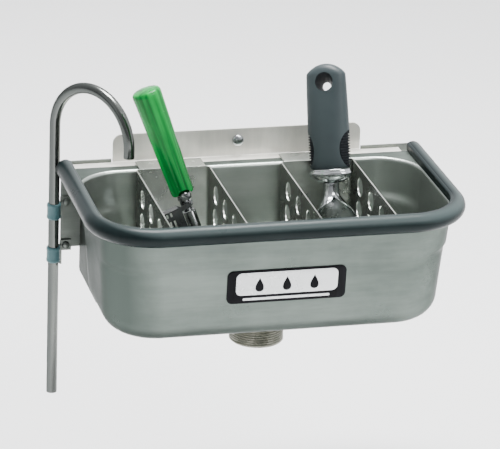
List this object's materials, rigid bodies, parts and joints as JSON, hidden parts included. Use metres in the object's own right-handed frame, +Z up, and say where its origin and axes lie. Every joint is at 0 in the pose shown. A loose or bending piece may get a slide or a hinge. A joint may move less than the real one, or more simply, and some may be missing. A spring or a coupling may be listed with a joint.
{
  "type": "wall-hung utensil rinse well",
  "caption": "Wall-hung steel basin with a soft edge bumper, gooseneck tap tube, drain, lift-out perforated dividers, a portion disher and a scoop.",
  "frame": {"origin": "on the wall face, centred, at the height of the basin's rim", "axes": "+X to the right facing the wall, +Y into the wall, +Z up"},
  "size_m": [0.3399, 0.1968, 0.3225],
  "materials": {
    "basin": "fine linear brushed stainless steel, satin",
    "rim_bumper": "slate grey extruded vinyl edge, satin",
    "hanger_bracket": "brushed stainless sheet, folded",
    "back_plate": "brushed stainless sheet",
    "gusset_left": "brushed stainless sheet",
    "gusset_right": "brushed stainless sheet",
    "mounting_screw": "plated steel, dome head",
    "badge_plate": "black enamelled label plate, blank",
    "badge_panel": null,
    "water_tube": "polished stainless tube",
    "drain_body": "dull plated brass, machined thread",
    "drain_gasket": "black rubber ring",
    "drain_locknut": "dull plated brass",
    "overflow_pipe": "fine linear brushed stainless steel, satin",
    "overflow_stopper": "black rubber ring",
    "divider_left": "fine linear brushed stainless steel, satin",
    "divider_right": "fine linear brushed stainless steel, satin",
    "disher_handle": "glossy green moulded plastic with fine grooves",
    "disher_shank": "polished stainless steel",
    "disher_bowl": "polished stainless steel",
    "lever_pin": "polished stainless steel",
    "thumb_lever": "pressed stainless steel",
    "return_spring": "spring wire",
    "scraper_pinion": "machined stainless steel",
    "scraper_blade": "polished stainless strip",
    "scoop_grip": "dark grey soft-grip rubber",
    "grip_fins_left": "dark grey finned soft rubber",
    "grip_fins_right": "dark grey finned soft rubber",
    "scoop_collar": "mirror chrome",
    "scoop_blade": "mirror polished stainless steel",
    "clip_cushion_upper": "blue grey vinyl cushion",
    "clip_strap_upper": "stainless strap",
    "clip_screw_upper": "plated screw",
    "clip_cushion_lower": "blue grey vinyl cushion",
    "clip_strap_lower": "stainless strap",
    "clip_screw_lower": "plated screw"
  },
  "bodies": {
    "well": {"basin": "basin", "rim_bumper": "rim_bumper", "hanger_bracket": "hanger_bracket", "back_plate": "back_plate", "gusset_left": "gusset_left", "gusset_right": "gusset_right", "mounting_screw": "mounting_screw", "badge_plate": "badge_plate", "badge_panel": "badge_panel", "water_tube": "water_tube", "clip_cushion_upper": "clip_cushion_upper", "clip_strap_upper": "clip_strap_upper", "clip_screw_upper": "clip_screw_upper", "clip_cushion_lower": "clip_cushion_lower", "clip_strap_lower": "clip_strap_lower", "clip_screw_lower": "clip_screw_lower", "drain_body": "drain_body", "drain_gasket": "drain_gasket", "drain_locknut": "drain_locknut"},
    "overflow": {"overflow_pipe": "overflow_pipe", "overflow_stopper": "overflow_stopper"},
    "left_insert": {"divider_left": "divider_left"},
    "right_insert": {"divider_right": "divider_right"},
    "disher": {"disher_handle": "disher_handle", "disher_shank": "disher_shank", "disher_bowl": "disher_bowl", "lever_pin": "lever_pin"},
    "lever": {"thumb_lever": "thumb_lever", "return_spring": "return_spring"},
    "scraper": {"scraper_pinion": "scraper_pinion", "scraper_blade": "scraper_blade"},
    "scoop": {"scoop_grip": "scoop_grip", "grip_fins_left": "grip_fins_left", "grip_fins_right": "grip_fins_right", "scoop_collar": "scoop_collar", "scoop_blade": "scoop_blade"}
  },
  "joints": [
    {"name": "overflow_lift", "type": "slide", "parent": "well", "child": "overflow", "axis": [0, 0, 1], "range_m": [0, 0.11]},
    {"name": "left_insert_lift", "type": "slide", "parent": "well", "child": "left_insert", "axis": [0, 0, 1], "range_m": [0, 0.12]},
    {"name": "right_insert_lift", "type": "slide", "parent": "well", "child": "right_insert", "axis": [0, 0, 1], "range_m": [0, 0.12]},
    {"name": "disher_lift", "type": "slide", "parent": "left_insert", "child": "disher", "axis": [0, 0, 1], "range_m": [0, 0.15]},
    {"name": "scoop_lift", "type": "slide", "parent": "right_insert", "child": "scoop", "axis": [0, 0, 1], "range_m": [0, 0.15]},
    {"name": "lever_press", "type": "hinge", "parent": "disher", "child": "lever", "pos_m": [-0.06081, -0.1219, -0.03212], "axis": [0, 0.9914, -0.1305], "range_deg": [0, 21.7], "stiffness_Nm_per_rad": 0.12, "springref_deg": -20.05, "deforming": ["return_spring"]},
    {"name": "scraper_sweep", "type": "hinge", "parent": "disher", "child": "scraper", "pos_m": [-0.04629, -0.12725, -0.07278], "axis": [-0.3338, 0.123, 0.9346], "range_deg": [0, 163]}
  ],
  "couplings": [
    {"joint": "scraper_sweep", "follows": "lever_press", "ratio": 7.5}
  ]
}
